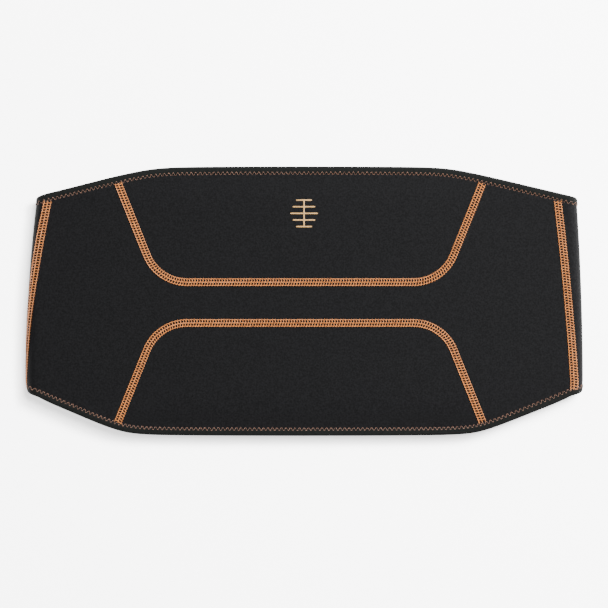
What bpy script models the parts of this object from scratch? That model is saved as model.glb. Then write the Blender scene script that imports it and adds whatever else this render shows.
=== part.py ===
"""Lumbar support belt, fastened and lying flat on its front, as the pieces that it is sewn from.

Metres. X runs along the belt, Y towards its upper edge, Z up from the surface that it lies on.
Each front wing is drawn as a flat pattern, (distance along the cloth, height), and then wrapped
round the fold at the wearer's side, so that cloth, edge binding and stitching share one route.
"""

import math

import bmesh
import bpy
from mathutils import Vector

# Cloth and trim
PANEL = 0.0022  # knit-faced foam laminate
TAPE = 0.0005  # edge binding tape
THREAD = 0.0004  # a band of stitches
PATCH = 0.0007  # hook patch or loop patch
AIR = 0.0003  # clearance between pieces that touch
LIP = TAPE + AIR  # how far a binding stands proud of its panel

# Stays, the flat springs along the spine, each in a sewn casing
STAY_SIZE = Vector((0.012, 0.158, 0.001))
CASING_WALL = 0.0003
CASING_SIZE = Vector((0.014, 0.166, 0.0018))
STAY_X = (-0.077, -0.032, 0.028, 0.073)

# Levels, upwards: outer front, hook, loop, inner front, the wearer's space, casings, back
WAIST_GAP = 0.0044
LAP_RISE = PANEL + 2 * PATCH + 3 * AIR
FRONT_MID = LIP + PANEL / 2
BACK_UNDER = FRONT_MID + LAP_RISE + PANEL / 2 + LIP + WAIST_GAP + CASING_SIZE.z + AIR
BACK_MID = BACK_UNDER + PANEL / 2
FOLD_Z = (FRONT_MID + BACK_MID) / 2
FOLD_R = (BACK_MID - FRONT_MID) / 2
FOLD_LENGTH = math.pi * FOLD_R

# Fold lines at the wearer's sides. They lean in towards the upper edge, because a waist does.
LEFT, RIGHT = -1, 1
FOLD_X = 0.2078
FOLD_LEAN = {LEFT: 0.045, RIGHT: 0.022}  # metres inwards for each metre up

# Outline of the back: level in the middle, then a soft bend into a straight slope
BACK_CENTRE_X = -0.002
TOP_EDGE = {"height": 0.1062, "bend": 0.116, "softness": 0.017, "slope": 0.245}
BOTTOM_EDGE = {"height": 0.1060, "bend": 0.1385, "softness": 0.015, "slope": 0.430}

# Lumbar seams: an arch above the waist band and one below it, each with two legs to the edge
SEAM_CENTRE_X = -0.003
SEAM_CENTRE_Y = -0.001
SEAM_HALF_GAP = 0.016
SEAM_CORNER_X = 0.1118
SEAM_LEG_LEAN = 0.402
SEAM_FILLET = 0.034
SEAM_WIDTH = 0.0068
SIDE_SEAM = {LEFT: (0.2136, 0.145), RIGHT: (0.2078, 0.108)}  # x at mid height, and its lean
SIDE_SEAM_ENDS = (-0.0575, 0.0670)

# Edge finish, measured inwards from the edge
BINDING_WIDTH = 0.0039
ZIGZAG_OFFSET = 0.0057
ZIGZAG_WIDTH = 0.0030

# Front wings, from the fold to the tip
WING_TOP = {"tip": 0.066, "flare": 0.0175, "fade": 0.070}
WING_BOTTOM = {"tip": 0.063, "flare": 0.0125, "fade": 0.035}
TIP_RADIUS = 0.026
FLAP_HINGE_X = -0.0073  # where the closure flap is sewn to the left wing
FLAP_ROOM = 0.0031  # free cloth each side of that line, so that the flap can peel back
LEFT_TIP_X = 0.105
RIGHT_TIP_X = 0.005
RAMP_X = (0.140, 0.113)  # where the right wing climbs on to the left one
HOOK_SIZE = Vector((0.076, 0.088))
LOOP_SIZE = Vector((0.082, 0.094))
PATCH_X = 0.0555
PATCH_RADIUS = 0.008

# Mark on the upper lumbar panel: a plain stack of bars on one stem
MARK_CENTRE = Vector((0.0, 0.0690))
MARK_STROKE = 0.0012
MARK_BARS = (0.0060, 0.0082, 0.0100, 0.0082, 0.0060)  # half lengths, top to bottom
MARK_PITCH = 0.0052

ARC_STEPS = 12
EDGE_STEPS = 24

# What a wing's own edge sweeps over as it turns about the fold, which the back stays out of
SWEPT_R = FOLD_R + PANEL / 2 + LIP
SWING_ROOM = math.sqrt(SWEPT_R**2 - (FOLD_R - PANEL / 2 - LIP) ** 2) + AIR


# ---------------------------------------------------------------- scene and materials


def empty_scene():
    for obj in list(bpy.data.objects):
        bpy.data.objects.remove(obj)


def material(name, colour, roughness, metallic=0.0):
    made = bpy.data.materials.new(name)
    made.use_nodes = True
    shader = made.node_tree.nodes["Principled BSDF"]
    shader.inputs["Base Color"].default_value = (*colour, 1.0)
    shader.inputs["Roughness"].default_value = roughness
    shader.inputs["Metallic"].default_value = metallic
    return made


empty_scene()
BELT = bpy.data.collections.new("lumbar_support_belt")
bpy.context.scene.collection.children.link(BELT)
LAMINATE = material("black_laminate", (0.017, 0.017, 0.019), 0.85)
BINDING = material("black_binding", (0.013, 0.013, 0.014), 0.75)
COPPER_THREAD = material("copper_thread", (0.60, 0.29, 0.13), 0.55)
HOOK = material("black_hook", (0.020, 0.020, 0.022), 0.60)
LOOP = material("black_loop", (0.024, 0.024, 0.026), 0.95)
CASING = material("casing_tape", (0.030, 0.030, 0.032), 0.90)
SPRING = material("stay_steel", (0.62, 0.63, 0.65), 0.35, 1.0)
TRANSFER = material("pale_copper_transfer", (0.62, 0.42, 0.24), 0.50)


def add(obj, finish, parent=None):
    obj.data.materials.append(finish)
    obj.parent = parent
    BELT.objects.link(obj)
    return obj


# ---------------------------------------------------------------- building blocks


def slab(name, outline, mid_z, thickness, finish, parent=None):
    """A flat piece: a filled 2D outline, extruded by half its thickness each way."""
    curve = bpy.data.curves.new(name, "CURVE")
    curve.dimensions = "2D"
    curve.fill_mode = "BOTH"
    curve.extrude = thickness / 2
    spline = curve.splines.new("POLY")
    spline.points.add(len(outline) - 1)
    for point, (x, y) in zip(spline.points, outline):
        point.co = (x, y, 0.0, 1.0)
    spline.use_cyclic_u = True
    obj = add(bpy.data.objects.new(name, curve), finish, parent)
    obj.location.z = mid_z
    return obj


def sheet(name, rows, thickness, finish, parent=None, closed=False):
    """A piece of cloth or tape: a surface through rows of points, thickened both ways."""
    bm = bmesh.new()
    grid = [[bm.verts.new(point) for point in row] for row in rows]
    for row, after in zip(grid, grid[1:]):
        pairs = list(zip(row, row[1:], after, after[1:]))
        if closed:
            pairs.append((row[-1], row[0], after[-1], after[0]))
        for a, b, c, d in pairs:
            bm.faces.new((a, b, d, c))
    bmesh.ops.recalc_face_normals(bm, faces=bm.faces)
    mesh = bpy.data.meshes.new(name)
    bm.to_mesh(mesh)
    bm.free()
    obj = add(bpy.data.objects.new(name, mesh), finish, parent)
    solid = obj.modifiers.new("thickness", "SOLIDIFY")
    solid.thickness = thickness
    solid.offset = 0.0
    solid.use_even_offset = True
    mesh.shade_smooth()
    mesh.set_sharp_from_angle(angle=math.radians(30))
    return obj


def inset(path, inwards):
    """The pattern path moved to its left by that much, each end square to the path."""
    moved = []
    for i, point in enumerate(path):
        before = path[max(i - 1, 0)]
        after = path[min(i + 1, len(path) - 1)]
        along = (Vector(after) - Vector(before)).normalized()
        moved.append(Vector(point) + inwards * Vector((-along.y, along.x)))
    return moved


def band(name, path, centre, width, lift, place, parent=None):
    """A band of stitches on the outer face, that far inside an edge path."""
    sides = [inset(path, centre - width / 2), inset(path, centre + width / 2)]
    rows = [[place(*a, lift), place(*b, lift)] for a, b in zip(*sides)]
    return sheet(name, rows, THREAD, COPPER_THREAD, parent)


def binding(name, path, place, parent=None):
    """Tape folded over an edge: a channel whose lips reach inwards on both faces."""
    lift = PANEL / 2 + AIR + TAPE / 2
    outer = inset(path, TAPE / 2)
    inner = inset(path, BINDING_WIDTH)
    rows = [
        [place(*b, lift), place(*a, lift), place(*a, -lift), place(*b, -lift)]
        for a, b in zip(outer, inner)
    ]
    return sheet(name, rows, TAPE, BINDING, parent)


def rounded_rectangle(centre, size, radius, steps=6):
    corners = ((1, 1, 0), (-1, 1, 90), (-1, -1, 180), (1, -1, 270))
    outline = []
    for sx, sy, start in corners:
        middle = Vector(centre) + Vector(
            (sx * (size[0] / 2 - radius), sy * (size[1] / 2 - radius))
        )
        for i in range(steps + 1):
            angle = math.radians(start + 90 * i / steps)
            outline.append(middle + radius * Vector((math.cos(angle), math.sin(angle))))
    return outline


def span(start, end, steps):
    return [start + (end - start) * i / steps for i in range(steps + 1)]


# ---------------------------------------------------------------- outlines of the back


def edge_height(x, edge):
    """Height of the top or bottom edge above the middle: level, then a softly bent slope."""
    past = abs(x - BACK_CENTRE_X) - edge["bend"]
    drop = (math.hypot(past, edge["softness"]) + past) / 2
    return edge["height"] - edge["slope"] * drop


def top_y(x):
    return edge_height(x, TOP_EDGE)


def bottom_y(x):
    return -edge_height(x, BOTTOM_EDGE)


def fold_x(side, y):
    return side * (FOLD_X - FOLD_LEAN[side] * y)


def back_end(side, y_of_edge, inwards=0.0):
    """Where an edge of the back meets its end line, which runs beside the fold line."""
    x = side * FOLD_X
    for _ in range(8):
        x = fold_x(side, y_of_edge(x)) - side * (SWING_ROOM + inwards)
    return x


def back_edge(y_of_edge, direction):
    """The top edge runs right to left and the bottom edge left to right, so inwards is left."""
    ends = back_end(LEFT, y_of_edge), back_end(RIGHT, y_of_edge)
    start, end = ends if direction > 0 else ends[::-1]
    return [(x, y_of_edge(x)) for x in span(start, end, 2 * EDGE_STEPS)]


def leg_top(edge_y, upper):
    """How far out the leg of a lumbar seam is when it reaches the edge of the back."""
    sign = 1 if upper else -1
    base = SEAM_CENTRE_Y + sign * SEAM_HALF_GAP
    x = SEAM_CORNER_X
    for _ in range(8):
        rise = sign * (edge_y(SEAM_CENTRE_X + x) - base)
        x = SEAM_CORNER_X + SEAM_LEG_LEAN * rise
    return x


def lumbar_path(upper, end_inset):
    """The arch from left to right: leg, fillet, level stretch, fillet, leg."""
    sign = 1 if upper else -1
    edge_y = top_y if upper else bottom_y
    base = SEAM_CENTRE_Y + sign * SEAM_HALF_GAP
    out = leg_top(edge_y, upper)
    leg = Vector((out - SEAM_CORNER_X, abs(edge_y(SEAM_CENTRE_X + out) - base)))
    turn = math.atan2(leg.y, leg.x)
    flat_x = SEAM_CORNER_X - SEAM_FILLET * math.tan(turn / 2)
    reach = leg.length - end_inset
    half = [Vector((SEAM_CORNER_X, 0.0)) + leg.normalized() * reach]
    for i in range(ARC_STEPS + 1):
        angle = turn * (1 - i / ARC_STEPS)
        half.append(
            Vector((flat_x + SEAM_FILLET * math.sin(angle), SEAM_FILLET * (1 - math.cos(angle))))
        )
    right = [(SEAM_CENTRE_X + p.x, base + sign * p.y) for p in reversed(half)]
    left = [(SEAM_CENTRE_X - p.x, base + sign * p.y) for p in half]
    return left + right


def grown(path, by):
    """A seam path moved away from its own panel, so that two butted panels keep a gap."""
    return [tuple(p) for p in inset(path, by)]


def edge_between(y_of_edge, x_from, x_to, steps):
    return [(x, y_of_edge(x) - math.copysign(LIP, y_of_edge(x))) for x in span(x_from, x_to, steps)]


def to_edge(path, y_of_edge):
    """The path with its two ends carried on to the panel edge inside the binding."""
    ends = []
    for end, before in ((path[0], path[1]), (path[-1], path[-2])):
        along = (Vector(end) - Vector(before)).normalized()
        spot = Vector(end)
        for _ in range(8):
            wanted = y_of_edge(spot.x) - math.copysign(LIP, y_of_edge(spot.x))
            spot += along * (wanted - spot.y) / along.y
        ends.append(tuple(spot))
    return [ends[0], *path[1:-1], ends[1]]


def lumbar_panel_outline(upper):
    """The panel inside an arch, closed by the belt's edge."""
    sign = 1 if upper else -1
    edge = top_y if upper else bottom_y
    arch = to_edge(grown(lumbar_path(upper, 0.0), sign * AIR / 2), edge)
    rim = edge_between(edge, arch[-1][0], arch[0][0], EDGE_STEPS)
    return arch + rim[1:-1]


def waist_panel_outline():
    """The rest of the back: full height at both ends, and narrow between the two arches."""
    upper = to_edge(grown(lumbar_path(True, 0.0), -AIR / 2), top_y)
    lower = to_edge(grown(lumbar_path(False, 0.0), AIR / 2), bottom_y)
    top_ends = [back_end(side, top_y, AIR) for side in (LEFT, RIGHT)]
    bottom_ends = [back_end(side, bottom_y, AIR) for side in (LEFT, RIGHT)]
    outline = edge_between(top_y, top_ends[0], upper[0][0], EDGE_STEPS // 2)[:-1]
    outline += upper
    outline += edge_between(top_y, upper[-1][0], top_ends[1], EDGE_STEPS // 2)[1:]
    outline += edge_between(bottom_y, bottom_ends[1], lower[-1][0], EDGE_STEPS // 2)[:-1]
    outline += lower[::-1]
    outline += edge_between(bottom_y, lower[0][0], bottom_ends[0], EDGE_STEPS // 2)[1:]
    return outline


def side_seam_path(side):
    """The seam beside a fold. Where it would turn under the fold, it stays on top of it."""
    at_middle, lean = SIDE_SEAM[side]
    path = []
    for y in span(*SIDE_SEAM_ENDS, EDGE_STEPS):
        limit = abs(fold_x(side, y)) + FOLD_R + PANEL / 2 - SEAM_WIDTH / 2
        path.append((side * min(at_middle - lean * y, limit), y))
    return path


# ---------------------------------------------------------------- the back


def back_place(x, y, lift):
    return (x, y, BACK_MID + lift)


STITCH_LIFT = PANEL / 2 + AIR + THREAD / 2


def build_back_cloth():
    slab("waist_panel", waist_panel_outline(), BACK_MID, PANEL, LAMINATE)
    slab("upper_lumbar_panel", lumbar_panel_outline(True), BACK_MID, PANEL, LAMINATE)
    slab("lower_lumbar_panel", lumbar_panel_outline(False), BACK_MID, PANEL, LAMINATE)


def build_back_seams():
    seam_end = ZIGZAG_OFFSET + ZIGZAG_WIDTH
    for name, upper in (("upper_lumbar_seam", True), ("lower_lumbar_seam", False)):
        band(name, lumbar_path(upper, seam_end), 0.0, SEAM_WIDTH, STITCH_LIFT, back_place)
    for name, side in (("left_side_seam", LEFT), ("right_side_seam", RIGHT)):
        band(name, side_seam_path(side), 0.0, SEAM_WIDTH, STITCH_LIFT, back_place)


def build_back_edges():
    for name, edge, direction in (("top", top_y, -1), ("bottom", bottom_y, 1)):
        path = back_edge(edge, direction)
        binding(f"back_{name}_binding", path, back_place)
        band(f"back_{name}_zigzag", path, ZIGZAG_OFFSET, ZIGZAG_WIDTH, STITCH_LIFT, back_place)


def build_stays():
    """Four flat springs, each in a flat tube of tape on the inner face of the back."""
    mid_z = BACK_UNDER - AIR - CASING_SIZE.z / 2
    half_x = (CASING_SIZE.x - CASING_WALL) / 2
    half_z = (CASING_SIZE.z - CASING_WALL) / 2
    ring = ((half_x, half_z), (-half_x, half_z), (-half_x, -half_z), (half_x, -half_z))
    for number, x in enumerate(STAY_X, start=1):
        rows = [
            [(x + dx, y, mid_z + dz) for dx, dz in ring]
            for y in (-CASING_SIZE.y / 2, CASING_SIZE.y / 2)
        ]
        sheet(f"stay_casing_{number}", rows, CASING_WALL, CASING, closed=True)
        outline = rounded_rectangle((x, 0.0), STAY_SIZE, STAY_SIZE.x / 2 - AIR)
        slab(f"stay_{number}", outline, mid_z, STAY_SIZE.z, SPRING)


def mark_outline():
    """One closed line round the stem and its bars, down the right side and up the left."""
    half = MARK_STROKE / 2
    middle = (len(MARK_BARS) - 1) / 2
    right = []
    for i, reach in enumerate(MARK_BARS):
        y = (middle - i) * MARK_PITCH
        right += [(half, y + half), (reach, y + half), (reach, y - half), (half, y - half)]
    right = right[1:-1]
    left = [(-x, y) for x, y in reversed(right)]
    return [tuple(MARK_CENTRE + Vector(point)) for point in right + left]


def build_mark():
    mid_z = BACK_UNDER + PANEL + AIR + THREAD / 2
    slab("transfer_mark", mark_outline(), mid_z, THREAD, TRANSFER)


# ---------------------------------------------------------------- the front wings


def wing_place(side, climbs=False):
    """Wraps a wing's pattern round its fold. The origin is on the fold's axis."""
    ramp = [FOLD_X - x for x in RAMP_X]

    def place(s, v, lift):
        if s <= FOLD_LENGTH:
            angle = s / FOLD_R
            u = -(FOLD_R + lift) * math.sin(angle)
            z = (FOLD_R + lift) * math.cos(angle)
        else:
            u = s - FOLD_LENGTH
            t = min(max((u - ramp[0]) / (ramp[1] - ramp[0]), 0.0), 1.0)
            z = -(FOLD_R + lift) + climbs * LAP_RISE * t * t * (3 - 2 * t)
        return (-side * u, v, z)

    return place


def wing_v(s, edge):
    return edge["tip"] + edge["flare"] * math.exp(-s / edge["fade"])


def wing_stations(start, end, climbs=False):
    """Distances along the cloth: close together round the fold and up the ramp."""
    found = [start]
    found += [FOLD_LENGTH * i / ARC_STEPS for i in range(1, ARC_STEPS + 1)]
    found += span(FOLD_LENGTH, end, EDGE_STEPS // 2)
    if climbs:
        near, far = (FOLD_LENGTH + FOLD_X - x for x in RAMP_X)
        found += span(near, far, 6)
    ordered = sorted({round(s, 6) for s in found if start <= s <= end})
    return [a for a, b in zip(ordered, ordered[1:]) if b - a > AIR] + [ordered[-1]]


def tip_arc(end, corner_y, sign, steps=6):
    """A rounded corner of a wing's tip, from its long edge to its end."""
    centre = Vector((end - TIP_RADIUS, corner_y - sign * TIP_RADIUS))
    return [
        tuple(centre + TIP_RADIUS * Vector((math.sin(a), sign * math.cos(a))))
        for a in span(0.0, math.pi / 2, steps)
    ]


def long_edges(start, end, climbs=False):
    """The bottom edge outwards and the top edge back, so that inwards is always left."""
    stations = wing_stations(start, end, climbs)
    bottom = [(s, -wing_v(s, WING_BOTTOM)) for s in stations]
    top = [(s, wing_v(s, WING_TOP)) for s in reversed(stations)]
    return bottom, top


def round_the_tip(start, end, climbs=False):
    """One path: out along the bottom edge, round the tip and back along the top edge."""
    bottom, top = long_edges(start, end - TIP_RADIUS, climbs)
    lower = tip_arc(end, bottom[-1][1], -1)
    upper = tip_arc(end, top[0][1], 1)
    return bottom[:-1] + lower + upper[::-1] + top[1:]


def wing_panel(name, outward, back, place, parent):
    """Cloth between two edge paths, one going out along the wing and one coming back."""
    pairs = zip(inset(outward, LIP), reversed(inset(back, LIP)))
    rows = [[place(*low, 0.0), place(*high, 0.0)] for low, high in pairs]
    return sheet(name, rows, PANEL, LAMINATE, parent)


def split_at_tip(path):
    """The outward half and the homeward half of a path that goes round a tip."""
    half = len(path) // 2
    return path[:half], path[half:]


def hinge(name, location, lean, parent=None):
    axis = bpy.data.objects.new(name, None)
    axis.location = location
    axis.rotation_euler.z = lean
    axis.parent = parent
    BELT.objects.link(axis)
    return axis


def build_left_wing(fold):
    """The outer front wing, from the fold to the seam of the closure flap."""
    place = wing_place(LEFT)
    end = FOLD_LENGTH + FOLD_X + FLAP_HINGE_X - FLAP_ROOM
    bottom, top = long_edges(0.0, end)
    wing_panel("left_front_panel", bottom, top, place, fold)
    for name, path in (("bottom", bottom), ("top", top)):
        binding(f"left_front_{name}_binding", path, place, fold)
        band(f"left_front_{name}_zigzag", path, ZIGZAG_OFFSET, ZIGZAG_WIDTH, STITCH_LIFT, place, fold)


def flap_place(x, y, lift):
    """The flap's own frame has its hinge line as origin. Its outer face looks down."""
    return (x, y, -lift)


def build_flap(flap):
    """The closure flap: the end of the left wing, with the hook patch on its inner face."""
    start = FOLD_LENGTH + FOLD_X + FLAP_HINGE_X
    end = FOLD_LENGTH + FOLD_X + LEFT_TIP_X

    def place(s, v, lift):
        return flap_place(s - start, v, lift)

    path = round_the_tip(start + FLAP_ROOM, end)
    wing_panel("closure_panel", *split_at_tip(path), place, flap)
    binding("closure_binding", path, place, flap)
    band("closure_zigzag", path, ZIGZAG_OFFSET, ZIGZAG_WIDTH, STITCH_LIFT, place, flap)
    centre = (PATCH_X - FLAP_HINGE_X, (WING_TOP["tip"] - WING_BOTTOM["tip"]) / 2)
    outline = rounded_rectangle(centre, HOOK_SIZE, PATCH_RADIUS)
    slab("hook_patch", outline, PANEL / 2 + AIR + PATCH / 2, PATCH, HOOK, flap)


def build_right_wing(fold):
    """The inner front wing, which climbs on to the left one and carries the loop patch."""
    place = wing_place(RIGHT, climbs=True)
    end = FOLD_LENGTH + FOLD_X - RIGHT_TIP_X
    path = round_the_tip(0.0, end, climbs=True)
    wing_panel("right_front_panel", *split_at_tip(path), place, fold)
    binding("right_front_binding", path, place, fold)
    band("right_front_zigzag", path, ZIGZAG_OFFSET, ZIGZAG_WIDTH, STITCH_LIFT, place, fold)
    centre = (PATCH_X - FOLD_X, (WING_TOP["tip"] - WING_BOTTOM["tip"]) / 2)
    outline = rounded_rectangle(centre, LOOP_SIZE, PATCH_RADIUS)
    mid_z = LAP_RISE - FOLD_R - PANEL / 2 - AIR - PATCH / 2
    slab("loop_patch", outline, mid_z, PATCH, LOOP, fold)


def build_wings():
    left = hinge("left_fold_axis", (-FOLD_X, 0.0, FOLD_Z), -math.atan(FOLD_LEAN[LEFT]))
    right = hinge("right_fold_axis", (FOLD_X, 0.0, FOLD_Z), math.atan(FOLD_LEAN[RIGHT]))
    flap = hinge("closure_axis", (FOLD_X + FLAP_HINGE_X, 0.0, -FOLD_R), 0.0, left)
    build_left_wing(left)
    build_flap(flap)
    build_right_wing(right)


build_back_cloth()
build_back_seams()
build_back_edges()
build_stays()
build_mark()
build_wings()
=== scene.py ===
"""Lumbar support belt: the looks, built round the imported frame.

Metres, in the frame of the CAD model. X runs along the belt, Y towards its upper edge and Z up.
Near a fold, cloth and stitches are laid out in that side's pattern, (s, v): s is the distance
along the cloth, from 0 at the fold line, and v is the height along that line.
"""

import math

import bpy
import numpy as np
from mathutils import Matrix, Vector


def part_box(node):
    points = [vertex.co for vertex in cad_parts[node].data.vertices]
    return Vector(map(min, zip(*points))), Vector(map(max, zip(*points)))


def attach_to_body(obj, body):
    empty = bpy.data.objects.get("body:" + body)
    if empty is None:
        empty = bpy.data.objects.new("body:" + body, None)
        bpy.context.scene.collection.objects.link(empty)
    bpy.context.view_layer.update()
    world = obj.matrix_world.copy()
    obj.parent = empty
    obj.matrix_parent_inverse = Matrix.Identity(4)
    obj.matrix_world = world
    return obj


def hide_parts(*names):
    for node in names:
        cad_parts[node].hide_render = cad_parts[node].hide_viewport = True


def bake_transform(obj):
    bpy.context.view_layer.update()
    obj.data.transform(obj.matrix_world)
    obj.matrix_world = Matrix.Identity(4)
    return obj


# Cloth and its trim
CLOTH = 0.0022
TAPE = 0.0005
TAPE_WIDTH = 0.0056
CLOTH_INSET = 0.0008
LAP_RISE = 0.0045

# Folds at the wearer's sides
LEFT, RIGHT = -1, 1
FOLD_X = 0.2078
FOLD_LEAN = {LEFT: 0.045, RIGHT: 0.022}
FOLD_Z = 0.0089
FOLD_R = 0.0070
FOLD_LENGTH = math.pi * FOLD_R
FOLD_BOW = {LEFT: (0.0016, 0.465, -0.005), RIGHT: (0.0030, 0.230, -0.020)}  # rise, curve, middle
BOW_FADE = 0.060
TUCK = 0.0022  # how far a fold's lower corner is drawn in
TUCK_START = 0.061
TUCK_LENGTH = 0.014
TUCK_FADE = 0.016
DROOP = 0.0020  # how far the free edges of the back hang
DROOP_START = 0.078
DROOP_END = 0.035  # how far from the fold the back is level
DROOP_FADE = 0.060

# Outline of the back: level in the middle, then a soft bend into a straight slope
BACK_CENTRE_X = -0.002
TOP_EDGE = {"height": 0.1062, "bend": 0.116, "softness": 0.017, "slope": 0.245}
BOTTOM_EDGE = {"height": 0.1060, "bend": 0.1385, "softness": 0.015, "slope": 0.430}

# Front wings
STEP_FADE = 0.010  # how soon past the fold a wing's edge leaves the line of the back's
WING_TOP = {"tip": 0.066, "flare": 0.0175, "fade": 0.070}
WING_BOTTOM = {"tip": 0.063, "flare": 0.0125, "fade": 0.035}
TIP_RADIUS = 0.026
FLAP_X = 0.2005  # the closure flap's hinge line, from the left fold
FLAP_OVERLAP = 0.010  # how far the flap's cloth runs into the left wing
LEFT_REACH = 0.3128
RIGHT_REACH = 0.2028
RIGHT_CUT = 0.060  # where the right wing's cloth is pieced, before it climbs
RAMP = (0.0678, 0.0948)

# Lumbar seams and side seams
SEAM_CENTRE_X = -0.003
SEAM_CENTRE_Y = -0.001
SEAM_HALF_GAP = 0.016
SEAM_CORNER_X = 0.1118
SEAM_LEG_LEAN = 0.402
SEAM_FILLET = 0.034
SIDE_SEAM = {LEFT: (0.0052, -0.087), RIGHT: (-0.0034, -0.056)}  # s at v = 0, and its slope
SIDE_SEAM_SPAN = (-0.0695, 0.0790)

# Flatlock stitch: three ribs of thread, joined by a rung across at every stitch
STITCH = 0.00212
STITCH_STEPS = 6
RIB_OFFSET = 0.0025
RIB_RISE = 0.00042
RIB_WAVE = 0.00014
RIB_SWAY = 0.00022
RUNG_REACH = 0.0032
RUNG_SLANT = 4  # steps that a rung moves along the seam as it crosses it
RUNG_RISE = 0.00034
RUNG_DIP = 0.00030
RIB_THREAD = {-1: 0.00028, 0: 0.00036, 1: 0.00028}
RUNG_THREAD = 0.00029

# Zigzag stitch along the binding
ZIGZAG_INSET = 0.0055
ZIGZAG_SWING = 0.00145
ZIGZAG_STEP = 0.00177
ZIGZAG_THREAD = 0.00016

# Sewing of the casings and the patches
SEWING_THREAD = 0.0002
CASING_SEWING_INSET = 0.0012
CASING_SEWING_STEP = 0.0032
CASING_SEWING_LENGTH = 0.0022
PATCH_INSET = 0.001
PATCH_CORNER = 0.008
PATCH_SEWING_STEP = 0.0027

# Mark on the upper lumbar panel
MARK_CENTRE = (0.0, 0.0690)
MARK_BARS = (0.0062, 0.0088, 0.0110, 0.0088, 0.0062)
MARK_PITCH = 0.0052
MARK_STROKE = 0.00105

# Studio. A light's values are its place, size and power.
FLOOR_SIZE = 6.0
FLOOR_GLOW = 1.55
WORLD_LIGHT = 0.30
KEY_LIGHT = ((1.6, 1.2, 2.2), 0.8, 290.0)
FLOOR_LIGHT = ((1.1, 1.1, 2.5), 1.9, 560.0)

# Camera: straight above, with a long lens
VIEW_WIDTH = 0.4773
VIEW_CENTRE = (0.0, -0.0021)
LENS = 135.0
SENSOR = 36.0

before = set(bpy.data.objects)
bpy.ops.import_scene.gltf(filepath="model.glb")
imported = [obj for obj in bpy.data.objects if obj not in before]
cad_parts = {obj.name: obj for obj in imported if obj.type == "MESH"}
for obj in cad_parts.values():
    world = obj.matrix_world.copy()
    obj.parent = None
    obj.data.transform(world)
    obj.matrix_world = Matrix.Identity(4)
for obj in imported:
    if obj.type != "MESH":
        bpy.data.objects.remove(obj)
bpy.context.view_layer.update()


# ---------------------------------------------------------------- materials


def new_material(name, colour, roughness, sheen=0.0, specular=0.5):
    made = bpy.data.materials.new(name)
    made.use_nodes = True
    shader = made.node_tree.nodes["Principled BSDF"]
    shader.inputs["Base Color"].default_value = (*colour, 1.0)
    shader.inputs["Roughness"].default_value = roughness
    shader.inputs["Specular IOR Level"].default_value = specular
    shader.inputs["Sheen Weight"].default_value = sheen
    shader.inputs["Sheen Roughness"].default_value = 0.45
    return made, made.node_tree, shader


def position(tree, stretch=(1.0, 1.0, 1.0)):
    coordinates = tree.nodes.new("ShaderNodeTexCoord")
    mapping = tree.nodes.new("ShaderNodeMapping")
    mapping.inputs["Scale"].default_value = stretch
    tree.links.new(coordinates.outputs["Object"], mapping.inputs["Vector"])
    return mapping.outputs["Vector"]


def noise(tree, vector, scale, detail=2.0):
    node = tree.nodes.new("ShaderNodeTexNoise")
    node.inputs["Scale"].default_value = scale
    node.inputs["Detail"].default_value = detail
    tree.links.new(vector, node.inputs["Vector"])
    return node.outputs["Fac"]


def cells(tree, vector, scale):
    node = tree.nodes.new("ShaderNodeTexVoronoi")
    node.inputs["Scale"].default_value = scale
    tree.links.new(vector, node.inputs["Vector"])
    return node.outputs["Distance"]


def ramp(tree, factor, low, high, start=0.0, end=1.0):
    node = tree.nodes.new("ShaderNodeValToRGB")
    node.color_ramp.elements[0].position = start
    node.color_ramp.elements[0].color = (*low, 1.0)
    node.color_ramp.elements[1].position = end
    node.color_ramp.elements[1].color = (*high, 1.0)
    tree.links.new(factor, node.inputs["Fac"])
    return node.outputs["Color"]


def bump(tree, shader, height, strength, distance, under=None):
    node = tree.nodes.new("ShaderNodeBump")
    node.inputs["Strength"].default_value = strength
    node.inputs["Distance"].default_value = distance
    tree.links.new(height, node.inputs["Height"])
    if under is not None:
        tree.links.new(under, node.inputs["Normal"])
    tree.links.new(node.outputs["Normal"], shader.inputs["Normal"])
    return node.outputs["Normal"]


def knit_material(name, dark, light, scale=1150.0, strength=0.25, sheen=0.0):
    """Fine knit: small loops in relief, mottled, with a soft unevenness over centimetres."""
    made, tree, shader = new_material(name, dark, 0.8, sheen, 0.12)
    vector = position(tree)
    mottle = noise(tree, vector, scale * 0.7, 3.0)
    tree.links.new(ramp(tree, mottle, dark, light, 0.34, 0.66), shader.inputs["Base Color"])
    loops = cells(tree, position(tree, (1.0, 0.75, 1.0)), scale)
    relief = bump(tree, shader, loops, strength, 0.00022)
    bump(tree, shader, noise(tree, vector, 24.0, 2.0), 0.25, 0.0020, relief)
    return made


def thread_material(name, dark, light, roughness=0.55):
    """Thread: fine fibres in relief, and a colour that changes from strand to strand."""
    made, tree, shader = new_material(name, light, roughness, 0.25)
    vector = position(tree)
    strands = noise(tree, vector, 1100.0, 2.0)
    tree.links.new(ramp(tree, strands, dark, light, 0.22, 0.60), shader.inputs["Base Color"])
    bump(tree, shader, noise(tree, vector, 4200.0, 2.0), 0.5, 0.00012)
    return made


def hook_material(name, dark, light, scale, depth):
    """Hook or loop tape: a dense pile of small cells."""
    made, tree, shader = new_material(name, dark, 0.8, 0.05, 0.15)
    vector = position(tree)
    pile = cells(tree, vector, scale)
    tree.links.new(ramp(tree, pile, light, dark, 0.05, 0.75), shader.inputs["Base Color"])
    bump(tree, shader, pile, 0.9, depth)
    return made


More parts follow.
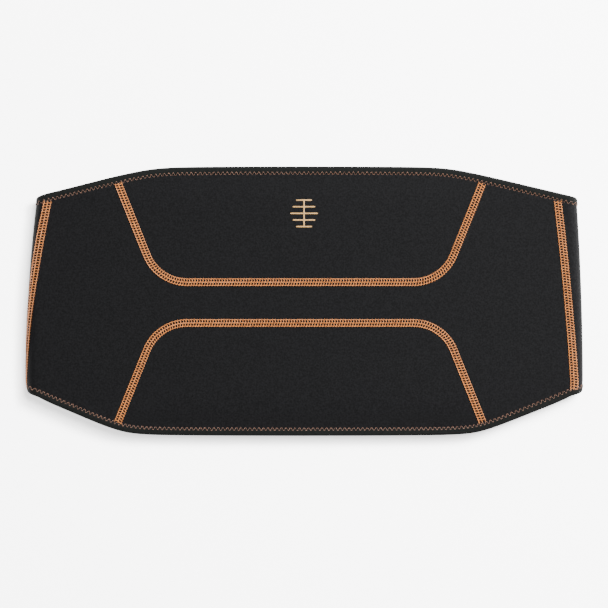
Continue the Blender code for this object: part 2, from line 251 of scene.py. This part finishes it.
KNIT = knit_material("knit_black", (0.0018, 0.0018, 0.0021), (0.0058, 0.0058, 0.0065))
LINING = knit_material("lining_black", (0.005, 0.005, 0.006), (0.012, 0.012, 0.013), 700.0)
TRIM = knit_material("binding_black", (0.0030, 0.0034, 0.0031), (0.0066, 0.0074, 0.0068), 1500.0, 0.2)
COPPER = thread_material("copper_thread", (0.10, 0.019, 0.004), (0.66, 0.225, 0.046))
COPPER_FINE = thread_material("copper_fine_thread", (0.055, 0.018, 0.010), (0.31, 0.155, 0.098))
BLACK_THREAD = thread_material("black_thread", (0.010, 0.010, 0.011), (0.030, 0.030, 0.032))
HOOK = hook_material("hook_black", (0.003, 0.003, 0.0035), (0.022, 0.022, 0.024), 900.0, 0.0004)
LOOP = hook_material("loop_black", (0.004, 0.004, 0.0045), (0.018, 0.018, 0.020), 520.0, 0.0003)


def mark_material():
    made, tree, shader = new_material("transfer", (0.48, 0.28, 0.10), 0.5)
    vector = position(tree)
    wear = noise(tree, vector, 900.0, 3.0)
    faded, full = (0.36, 0.20, 0.065), (0.52, 0.31, 0.115)
    tree.links.new(ramp(tree, wear, faded, full, 0.3, 0.6), shader.inputs["Base Color"])
    bump(tree, shader, cells(tree, vector, 1150.0), 0.3, 0.00015)
    return made


# ---------------------------------------------------------------- mesh building


def make_piece(name, vertices, faces, material):
    mesh = bpy.data.meshes.new(name)
    mesh.from_pydata([tuple(v) for v in vertices], [], faces)
    mesh.materials.append(material)
    mesh.shade_smooth()
    mesh.set_sharp_from_angle(angle=math.radians(50))
    obj = bpy.data.objects.new(name, mesh)
    bpy.context.scene.collection.objects.link(obj)
    return obj


class Builder:
    """Collects swept solids into one piece."""

    def __init__(self):
        self.vertices = []
        self.faces = []

    def sweep(self, sections):
        """A solid through closed sections that all have the same number of points."""
        first, around = len(self.vertices), len(sections[0])
        for section in sections:
            self.vertices.extend(section)
        for i in range(len(sections) - 1):
            for j in range(around):
                a, b = first + i * around + j, first + i * around + (j + 1) % around
                self.faces.append((a, b, b + around, a + around))
        last = first + (len(sections) - 1) * around
        self.faces.append(tuple(range(first + around - 1, first - 1, -1)))
        self.faces.append(tuple(range(last, last + around)))

    def tube(self, points, radius, sides=6, flatten=1.0):
        """A round thread through the points, with its ends drawn in."""
        sections = []
        up = Vector((0.0, 0.0, 1.0))
        for i, point in enumerate(points):
            before, after = points[max(i - 1, 0)], points[min(i + 1, len(points) - 1)]
            along = (after - before).normalized()
            side = along.cross(up)
            if side.length < 0.05:
                side = along.orthogonal()
            side.normalize()
            up = side.cross(along).normalized()
            size = radius * (0.45 if i in (0, len(points) - 1) else 1.0)
            angles = [2 * math.pi * k / sides for k in range(sides)]
            sections.append(
                [
                    point + size * (math.cos(a) * side + flatten * math.sin(a) * up)
                    for a in angles
                ]
            )
        self.sweep(sections)

    def piece(self, name, material, slot):
        return make_piece(name, self.vertices, self.faces, material)


def span(start, end, steps):
    return [start + (end - start) * i / steps for i in range(steps + 1)]


# ---------------------------------------------------------------- the pattern


def smoothstep(t):
    return t * t * (3 - 2 * t)


def edge_height(x, edge):
    past = abs(x - BACK_CENTRE_X) - edge["bend"]
    drop = (math.hypot(past, edge["softness"]) + past) / 2
    return edge["height"] - edge["slope"] * drop


def top_y(x):
    return edge_height(x, TOP_EDGE)


def bottom_y(x):
    return -edge_height(x, BOTTOM_EDGE)


def fold_axes(side):
    """The fold's foot at Y = 0, the way out past it, and the way up along it."""
    lean = math.atan(FOLD_LEAN[side])
    out = Vector((side * math.cos(lean), math.sin(lean)))
    up = Vector((-side * math.sin(lean), math.cos(lean)))
    return Vector((side * FOLD_X, 0.0)), out, up


def to_pattern(side, x, y):
    foot, out, up = fold_axes(side)
    away = Vector((x, y)) - foot
    return away.dot(out), away.dot(up)


def bow(side, s, v):
    """How far the soft fold stands out from its straight hinge line, less at its lower corner."""
    rise, curve, middle = FOLD_BOW[side]
    away = max(-s, s - FOLD_LENGTH, 0.0)
    fade = max(1.0 - away / BOW_FADE, 0.0)
    corner = min(max((-v - TUCK_START) / TUCK_LENGTH, 0.0), 1.0) * max(1.0 - away / TUCK_FADE, 0.0)
    return (rise - curve * (v - middle) ** 2) * smoothstep(fade) - TUCK * corner**2


def droop(x, y):
    """Beyond the wings that lie under it, the back hangs a little towards its free edges."""
    t = min(max((abs(y) - DROOP_START) / (TOP_EDGE["height"] - DROOP_START), 0.0), 1.0)
    level = min(max((FOLD_X - DROOP_END - abs(x)) / DROOP_FADE, 0.0), 1.0)
    return DROOP * smoothstep(t) * smoothstep(level)


def lay(side, s, v, lift):
    """A point of the pattern, wrapped round its fold. Lift is outwards, from mid-cloth."""
    foot, out, up = fold_axes(side)
    if s <= 0.0:
        reach, z = s, FOLD_R + lift
    elif s <= FOLD_LENGTH:
        angle = s / FOLD_R
        reach, z = (FOLD_R + lift) * math.sin(angle), (FOLD_R + lift) * math.cos(angle)
    else:
        u = s - FOLD_LENGTH
        t = min(max((u - RAMP[0]) / (RAMP[1] - RAMP[0]), 0.0), 1.0)
        climb = LAP_RISE * smoothstep(t) if side == RIGHT else 0.0
        reach, z = -u, climb - FOLD_R - lift
    spot = foot + (reach + bow(side, s, v)) * out + v * up
    if s < 0.0:
        z -= droop(spot.x, spot.y)
    return Vector((spot.x, spot.y, FOLD_Z + z))


def back_station(side, k, y_of_edge):
    """Pattern point on an edge of the back, for k from 0 at the middle to 1 at the fold."""
    x = side * FOLD_X * k
    for _ in range(8):
        x = k * side * (FOLD_X - FOLD_LEAN[side] * y_of_edge(x))
    return to_pattern(side, x, y_of_edge(x))


def wing_v(s, wing):
    return wing["tip"] + wing["flare"] * math.exp(-s / wing["fade"])


def edge_point(side, station, upper):
    """Where a cross line of the pattern meets its edge. Stations below 0 are on the back."""
    y_of_edge, wing, sign = (top_y, WING_TOP, 1) if upper else (bottom_y, WING_BOTTOM, -1)
    if station <= 0.0:
        return back_station(side, 1.0 + station / FOLD_X, y_of_edge)
    step = sign * back_station(side, 1.0, y_of_edge)[1] - wing_v(0.0, wing)
    return station, sign * (wing_v(station, wing) + step * math.exp(-station / STEP_FADE))


def tip_point(reach, s, upper):
    """The edge near a wing's tip, whose corners are rounded."""
    wing, sign = (WING_TOP, 1) if upper else (WING_BOTTOM, -1)
    end = FOLD_LENGTH + reach
    full = wing_v(min(s, end - TIP_RADIUS), wing)
    past = max(s - (end - TIP_RADIUS), 0.0)
    return s, sign * (full - TIP_RADIUS + math.sqrt(max(TIP_RADIUS**2 - past**2, 0.0)))


def stations(start, end):
    """Cross lines: close together round the fold, and a few millimetres apart elsewhere."""
    found = {start, end}
    found.update(s for s in np.arange(start, end, 0.004) if s < -0.002 or s > FOLD_LENGTH)
    found.update(s for s in np.linspace(-0.002, FOLD_LENGTH + 0.002, 26) if start < s < end)
    ordered = sorted(float(s) for s in found)
    return [a for a, b in zip(ordered, ordered[1:]) if b - a > 1e-5] + [end]


def tip_stations(start, reach):
    end = FOLD_LENGTH + reach
    corner = [end - TIP_RADIUS + TIP_RADIUS * math.sin(a) for a in span(0.0, math.pi / 2, 14)]
    return stations(start, end - TIP_RADIUS)[:-1] + corner


def inset_path(path, distance):
    """The path moved inwards, which is to its left."""
    moved = []
    for i, point in enumerate(path):
        before, after = path[max(i - 1, 0)], path[min(i + 1, len(path) - 1)]
        dx, dy = after[0] - before[0], after[1] - before[1]
        length = math.hypot(dx, dy) or 1.0
        moved.append((point[0] - distance * dy / length, point[1] + distance * dx / length))
    return moved


def between(a, b, t):
    """The point a share t of the way from a to b, or past b where t is above 1."""
    return a[0] + (b[0] - a[0]) * t, a[1] + (b[1] - a[1]) * t


def resampled(path, step):
    """Points at an even spacing along a path."""
    points = np.array([tuple(p) for p in path])
    lengths = np.hypot(*np.diff(points, axis=0).T)
    along = np.concatenate([[0.0], np.cumsum(lengths)])
    count = max(int(round(along[-1] / step)), 2)
    wanted = np.linspace(0.0, along[-1], count + 1)
    across = np.interp(wanted, along, points[:, 0]).tolist()
    upward = np.interp(wanted, along, points[:, 1]).tolist()
    return list(zip(across, upward))


# ---------------------------------------------------------------- cloth


def cloth_section(side, low, high, columns=36):
    """One cross line of cloth: along its outer face from low to high, and back along the inner."""
    half = CLOTH / 2
    line = [between(low, high, t) for t in span(0.0, 1.0, columns)]
    over = [lay(side, s, v, half) for s, v in line]
    under = [lay(side, s, v, -half) for s, v in reversed(line)]
    return over + under


def cloth(name, side, pairs, material, slot):
    """A sheet of cloth through pairs of edge points, its edges set back inside the binding."""
    low = inset_path([pair[0] for pair in pairs], CLOTH_INSET)
    high = inset_path([pair[1] for pair in reversed(pairs)], CLOTH_INSET)[::-1]
    build = Builder()
    build.sweep([cloth_section(side, a, b) for a, b in zip(low, high)])
    obj = build.piece(name, material, slot)
    return obj


def edge_pairs(side, where):
    return [(edge_point(side, s, False), edge_point(side, s, True)) for s in where]


def tip_pairs(reach, where):
    return [(tip_point(reach, s, False), tip_point(reach, s, True)) for s in where]


# ---------------------------------------------------------------- binding and stitches


def tape_section(side, edge, inwards):
    """Tape folded over an edge: out along one face, round, and back along the other."""
    outer, inner = CLOTH / 2 + TAPE, CLOTH / 2 + 0.00005
    shape = [(TAPE_WIDTH, outer - 0.0002), (TAPE_WIDTH - 0.0003, outer)]
    shape += [
        (outer * (1 - math.sin(a)), outer * math.cos(a)) for a in span(0.0, math.pi, 8)
    ]
    shape += [(TAPE_WIDTH - 0.0003, -outer), (TAPE_WIDTH, 0.0002 - outer), (TAPE_WIDTH, -inner)]
    shape += [(outer - inner * math.sin(a), -inner * math.cos(a)) for a in span(0.0, math.pi, 4)]
    shape += [(TAPE_WIDTH, inner)]
    return [
        lay(side, edge[0] + a * inwards[0], edge[1] + a * inwards[1], lift) for a, lift in shape
    ]


def edge_tape(name, side, path):
    """The binding along an edge path that has the cloth on its left."""
    offset = inset_path(path, 1.0)
    build = Builder()
    build.sweep(
        [tape_section(side, p, (q[0] - p[0], q[1] - p[1])) for p, q in zip(path, offset)]
    )
    return build.piece(name, TRIM, "edge_binding")


def zigzag(build, side, path, face):
    """A zigzag over the binding's inner edge, on the outer face (1) or the inner one (-1)."""
    edge = resampled(path, ZIGZAG_STEP)
    near = inset_path(edge, ZIGZAG_INSET - ZIGZAG_SWING)
    far = inset_path(edge, ZIGZAG_INSET + ZIGZAG_SWING)
    stops = [near[i] if i % 2 else far[i] for i in range(len(edge))]
    for i in range(len(stops) - 1):
        a, b = stops[i], stops[i + 1]
        points = []
        for t in (0.0, 0.12, 0.5, 0.88, 1.0):
            on_tape = t if i % 2 == 0 else 1 - t
            level = CLOTH / 2 + TAPE * min(max(on_tape * 2 - 0.5, 0.0), 1.0)
            sunk = 0.0004 if t in (0.0, 1.0) else 0.00016 - 0.00030 * on_tape
            points.append(lay(side, *between(a, b, t), face * (level - sunk)))
        build.tube(points, ZIGZAG_THREAD, 5)


def flatlock(build, path, place, face):
    """Three ribs along the seam and slanted rungs across it, with small holes between them."""
    centre = resampled(path, STITCH / STITCH_STEPS)
    aside = inset_path(centre, 1.0)
    top = CLOTH / 2
    for rib, thread in RIB_THREAD.items():
        points = []
        for i, (p, q) in enumerate(zip(centre, aside)):
            phase = 2 * math.pi * i / STITCH_STEPS
            out = rib * (RIB_OFFSET + RIB_SWAY * math.cos(phase))
            rise = RIB_RISE + RIB_WAVE * math.cos(phase + (0.0 if rib else math.pi / 2))
            points.append(place(*between(p, q, out), face * (top + rise)))
        build.tube(points, thread, 6, 0.8)
    for start in range(0, len(centre) - STITCH_STEPS, STITCH_STEPS):
        rung = []
        for j, t in enumerate(span(-1.0, 1.0, 6)):
            i = start + min(j, RUNG_SLANT)
            rise = RUNG_RISE - RUNG_DIP * abs(t) ** 6
            spot = between(centre[i], aside[i], t * RUNG_REACH)
            rung.append(place(*spot, face * (top + rise)))
        build.tube(rung, RUNG_THREAD, 6, 0.75)


def back_place(x, y, lift):
    return Vector((x, y, FOLD_Z + FOLD_R + lift - droop(x, y)))


def lumbar_path(upper):
    """The arch of a lumbar seam, from the left end to the right one."""
    sign = 1 if upper else -1
    y_of_edge = top_y if upper else bottom_y
    base = SEAM_CENTRE_Y + sign * SEAM_HALF_GAP
    out = SEAM_CORNER_X
    for _ in range(8):
        out = SEAM_CORNER_X + SEAM_LEG_LEAN * sign * (y_of_edge(SEAM_CENTRE_X + out) - base)
    leg = Vector((out - SEAM_CORNER_X, abs(y_of_edge(SEAM_CENTRE_X + out) - base)))
    turn = math.atan2(leg.y, leg.x)
    level = SEAM_CORNER_X - SEAM_FILLET * math.tan(turn / 2)
    half = [Vector((SEAM_CORNER_X, 0.0)) + leg.normalized() * (leg.length - ZIGZAG_INSET - 0.001)]
    for angle in span(turn, 0.0, 16):
        bend = Vector((math.sin(angle), 1 - math.cos(angle)))
        half.append(Vector((level, 0.0)) + SEAM_FILLET * bend)
    right = [(SEAM_CENTRE_X + p.x, base + sign * p.y) for p in reversed(half)]
    left = [(SEAM_CENTRE_X - p.x, base + sign * p.y) for p in half]
    return left + right


def side_seam_path(side):
    start, slope = SIDE_SEAM[side]
    return [(start + slope * v, v) for v in span(*SIDE_SEAM_SPAN, 60)]


# ---------------------------------------------------------------- the belt


def bend_at_fold(obj):
    """Cloth that crosses a fold, already laid round it: only its placement is baked into its mesh."""
    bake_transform(obj)


def bend_at_flap(obj):
    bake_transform(obj)


def build_side(side, word, end, nodes):
    """Everything on one side that crosses the fold: cloth, bindings and stitches."""
    where = stations(-FOLD_X, end)
    pairs = edge_pairs(side, where)
    panel = cloth(f"{word}_cloth", side, pairs, KNIT, "shell_fabric")
    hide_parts(*nodes["cloth"])
    bend_at_fold(panel)
    bottom = [pair[0] for pair in pairs]
    top = [pair[1] for pair in reversed(pairs)]
    threads = Builder()
    for edge, path in (("top", top), ("bottom", bottom)):
        tape = edge_tape(f"{word}_{edge}_tape", side, path)
        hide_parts(*nodes[edge])
        bend_at_fold(tape)
        for face in (1, -1):
            zigzag(threads, side, path, face)
    stitches = threads.piece(f"{word}_edge_stitches", COPPER_FINE, "copper_thread")
    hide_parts(*nodes["stitches"])
    bend_at_fold(stitches)
    seam = Builder()
    for face in (1, -1):
        flatlock(seam, side_seam_path(side), lambda s, v, lift: lay(side, s, v, lift), face)
    seam = seam.piece(f"{word}_side_stitches", COPPER, "copper_thread")
    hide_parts(f"{word}_side_seam")
    bend_at_fold(seam)


def build_tip(word, side, start, reach, nodes, attach):
    """The end of a wing, with its binding and stitches round the tip."""
    where = tip_stations(start, reach)
    pairs = tip_pairs(reach, where)
    panel = cloth(f"{word}_cloth", side, pairs[:-1], KNIT, "shell_fabric")
    path = [pair[0] for pair in pairs] + [pair[1] for pair in reversed(pairs)]
    tape = edge_tape(f"{word}_tape", side, path)
    threads = Builder()
    for face in (1, -1):
        zigzag(threads, side, path, face)
    stitches = threads.piece(f"{word}_stitches", COPPER_FINE, "copper_thread")
    for obj, node in zip((panel, tape, stitches), nodes):
        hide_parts(node)
        attach(obj)


def build_lumbar_seams():
    for word, upper in (("upper", True), ("lower", False)):
        seam = Builder()
        for face in (1, -1):
            flatlock(seam, lumbar_path(upper), back_place, face)
        obj = seam.piece(f"{word}_lumbar_stitches", COPPER, "copper_thread")
        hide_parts(f"{word}_lumbar_seam")
        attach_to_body(obj, "back")


def build_mark():
    """A plain stack of rounded bars on one stem, pressed into the knit."""
    build = Builder()
    middle = (len(MARK_BARS) - 1) / 2
    strokes = [((0.0, -middle * MARK_PITCH), (0.0, middle * MARK_PITCH))]
    for i, half in enumerate(MARK_BARS):
        y = (middle - i) * MARK_PITCH
        strokes.append(((-half, y), (half, y)))
    for a, b in strokes:
        points = []
        for t in (0.0, 0.04, 0.5, 0.96, 1.0):
            x, y = between(a, b, t)
            points.append(back_place(MARK_CENTRE[0] + x, MARK_CENTRE[1] + y, CLOTH / 2))
        build.tube(points, MARK_STROKE / 2, 12, 0.16)
    mark = build.piece("back_mark", mark_material(), "transfer")
    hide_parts("transfer_mark")
    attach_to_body(mark, "back")


def rounded_rectangle(width, height, radius, steps):
    """Points round a rectangle with rounded corners, anticlockwise from its right side."""
    points = []
    for sx, sy, start in ((1, 1, 0), (-1, 1, 90), (-1, -1, 180), (1, -1, 270)):
        for k in range(steps + 1):
            angle = math.radians(start + 90 * k / steps)
            x = sx * (width / 2 - radius) + radius * math.cos(angle)
            y = sy * (height / 2 - radius) + radius * math.sin(angle)
            points.append((x, y))
    return points


def build_casings():
    """The stays' casings: tapes that are sewn down along both sides."""
    for number in range(1, 5):
        node = f"stay_casing_{number}"
        low, high = (Vector(corner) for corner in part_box(node))
        middle = (low + high) / 2
        size = high - low
        ends = ((0.0, 0.97, 0.55), (0.001, 1.0, 0.9), (0.004, 1.0, 1.0))
        stops = [(low.y + inset, wide, tall) for inset, wide, tall in ends]
        stops += [(high.y - inset, wide, tall) for inset, wide, tall in reversed(ends)]
        sections = []
        for y, wide, tall in stops:
            height = size.z * tall
            outline = rounded_rectangle(size.x * wide, height, height * 0.45, 4)
            sections.append([Vector((middle.x + x, y, middle.z + z)) for x, z in outline])
        build = Builder()
        build.sweep(sections)
        casing = build.piece(f"casing_{number}", LINING, "casing_tape")
        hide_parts(node, f"stay_{number}")
        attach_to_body(casing, "back")
        threads = Builder()
        for edge in (-1, 1):
            x = middle.x + edge * (size.x / 2 - CASING_SEWING_INSET)
            for y in np.arange(low.y + 0.002, high.y - 0.004, CASING_SEWING_STEP).tolist():
                points = []
                for t in span(0.0, 1.0, 4):
                    z = low.z + SEWING_THREAD - 0.0001 * math.sin(math.pi * t)
                    points.append(Vector((x, y + CASING_SEWING_LENGTH * t, z)))
                threads.tube(points, SEWING_THREAD, 5)
        sewing = threads.piece(f"casing_sewing_{number}", BLACK_THREAD, "casing_tape")
        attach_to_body(sewing, "back")


def build_patch(word, node, material, slot, body, face):
    """A hook or loop patch with rounded corners, sewn down all round."""
    low, high = (Vector(corner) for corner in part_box(node))
    middle = (low + high) / 2
    size = high - low
    outline = rounded_rectangle(
        size.x - 2 * PATCH_INSET, size.y - 2 * PATCH_INSET, PATCH_CORNER, 8
    )
    build = Builder()
    build.sweep(
        [
            [Vector((middle.x + x * k, middle.y + y * k, middle.z + size.z * h)) for x, y in outline]
            for k, h in ((0.992, -0.5), (1.0, -0.25), (1.0, 0.25), (0.992, 0.5))
        ]
    )
    patch = build.piece(f"{word}_pile", material, slot)
    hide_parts(node)
    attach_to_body(patch, body)
    line = resampled([(x * 0.95, y * 0.955) for x, y in outline + outline[:1]], PATCH_SEWING_STEP)
    threads = Builder()
    for a, b in zip(line, line[1:]):
        points = []
        for t, sunk in ((0.05, 0.0002), (0.25, -0.00005), (0.75, -0.00005), (0.92, 0.0002)):
            x, y = between(a, b, t)
            z = face * (size.z / 2 - sunk)
            points.append(Vector((middle.x + x, middle.y + y, middle.z + z)))
        threads.tube(points, SEWING_THREAD, 5)
    sewing = threads.piece(f"{word}_sewing", BLACK_THREAD, slot)
    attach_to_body(sewing, body)


def build_belt():
    flap_start = FOLD_LENGTH + FLAP_X - FLAP_OVERLAP
    build_side(
        LEFT,
        "left",
        flap_start,
        {
            "cloth": ("waist_panel", "left_front_panel"),
            "top": ("back_top_binding", "left_front_top_binding"),
            "bottom": ("back_bottom_binding", "left_front_bottom_binding"),
            "stitches": (
                "back_top_zigzag",
                "back_bottom_zigzag",
                "left_front_top_zigzag",
                "left_front_bottom_zigzag",
            ),
        },
    )
    build_side(
        RIGHT,
        "right",
        FOLD_LENGTH + RIGHT_CUT,
        {
            "cloth": ("upper_lumbar_panel", "lower_lumbar_panel", "right_front_panel"),
            "top": ("right_front_binding",),
            "bottom": ("right_front_binding",),
            "stitches": ("right_front_zigzag",),
        },
    )
    build_tip(
        "closure",
        LEFT,
        flap_start,
        LEFT_REACH,
        ("closure_panel", "closure_binding", "closure_zigzag"),
        bend_at_flap,
    )
    build_tip(
        "right_front",
        RIGHT,
        FOLD_LENGTH + RIGHT_CUT,
        RIGHT_REACH,
        ("right_front_panel", "right_front_binding", "right_front_zigzag"),
        lambda obj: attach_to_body(obj, "right_wing"),
    )
    build_lumbar_seams()
    build_mark()
    build_casings()
    build_patch("hook", "hook_patch", HOOK, "hook_tape", "closure_flap", 1)
    build_patch("loop", "loop_patch", LOOP, "loop_tape", "right_wing", -1)


# ---------------------------------------------------------------- studio


def area_light(name, location, size, power, only=None):
    """A round soft light, aimed at the origin. Only is the one collection that it falls on."""
    data = bpy.data.lights.new(name, "AREA")
    data.shape = "DISK"
    data.size = size
    data.energy = power
    light = bpy.data.objects.new(name, data)
    light.location = location
    light.rotation_euler = (-Vector(location)).to_track_quat("-Z", "Y").to_euler()
    bpy.context.scene.collection.objects.link(light)
    if only is not None:
        light.light_linking.receiver_collection = only


def build_studio():
    half = FLOOR_SIZE / 2
    corners = [(-half, -half, 0.0), (half, -half, 0.0), (half, half, 0.0), (-half, half, 0.0)]
    mesh = bpy.data.meshes.new("floor")
    mesh.from_pydata(corners, [], [(0, 1, 2, 3)])
    paper, _, shader = new_material("paper", (0.86, 0.86, 0.86), 0.9)
    shader.inputs["Specular IOR Level"].default_value = 0.0
    shader.inputs["Emission Color"].default_value = (1.0, 1.0, 1.0, 1.0)
    shader.inputs["Emission Strength"].default_value = FLOOR_GLOW
    mesh.materials.append(paper)
    floor = bpy.data.objects.new("floor", mesh)
    backdrop = bpy.data.collections.new("backdrop")
    bpy.context.scene.collection.children.link(backdrop)
    backdrop.objects.link(floor)
    world = bpy.data.worlds.new("studio")
    world.use_nodes = True
    background = world.node_tree.nodes["Background"]
    background.inputs["Color"].default_value = (1.0, 1.0, 1.0, 1.0)
    background.inputs["Strength"].default_value = WORLD_LIGHT
    bpy.context.scene.world = world
    area_light("key", *KEY_LIGHT)
    area_light("floor_key", *FLOOR_LIGHT, only=backdrop)


def build_camera():
    data = bpy.data.cameras.new("camera")
    data.lens = LENS
    data.sensor_width = SENSOR
    data.clip_end = 20.0
    camera = bpy.data.objects.new("camera", data)
    top = FOLD_Z + FOLD_R
    camera.location = (*VIEW_CENTRE, top + VIEW_WIDTH * LENS / SENSOR)
    bpy.context.scene.collection.objects.link(camera)
    bpy.context.scene.camera = camera


build_studio()
build_camera()
build_belt()
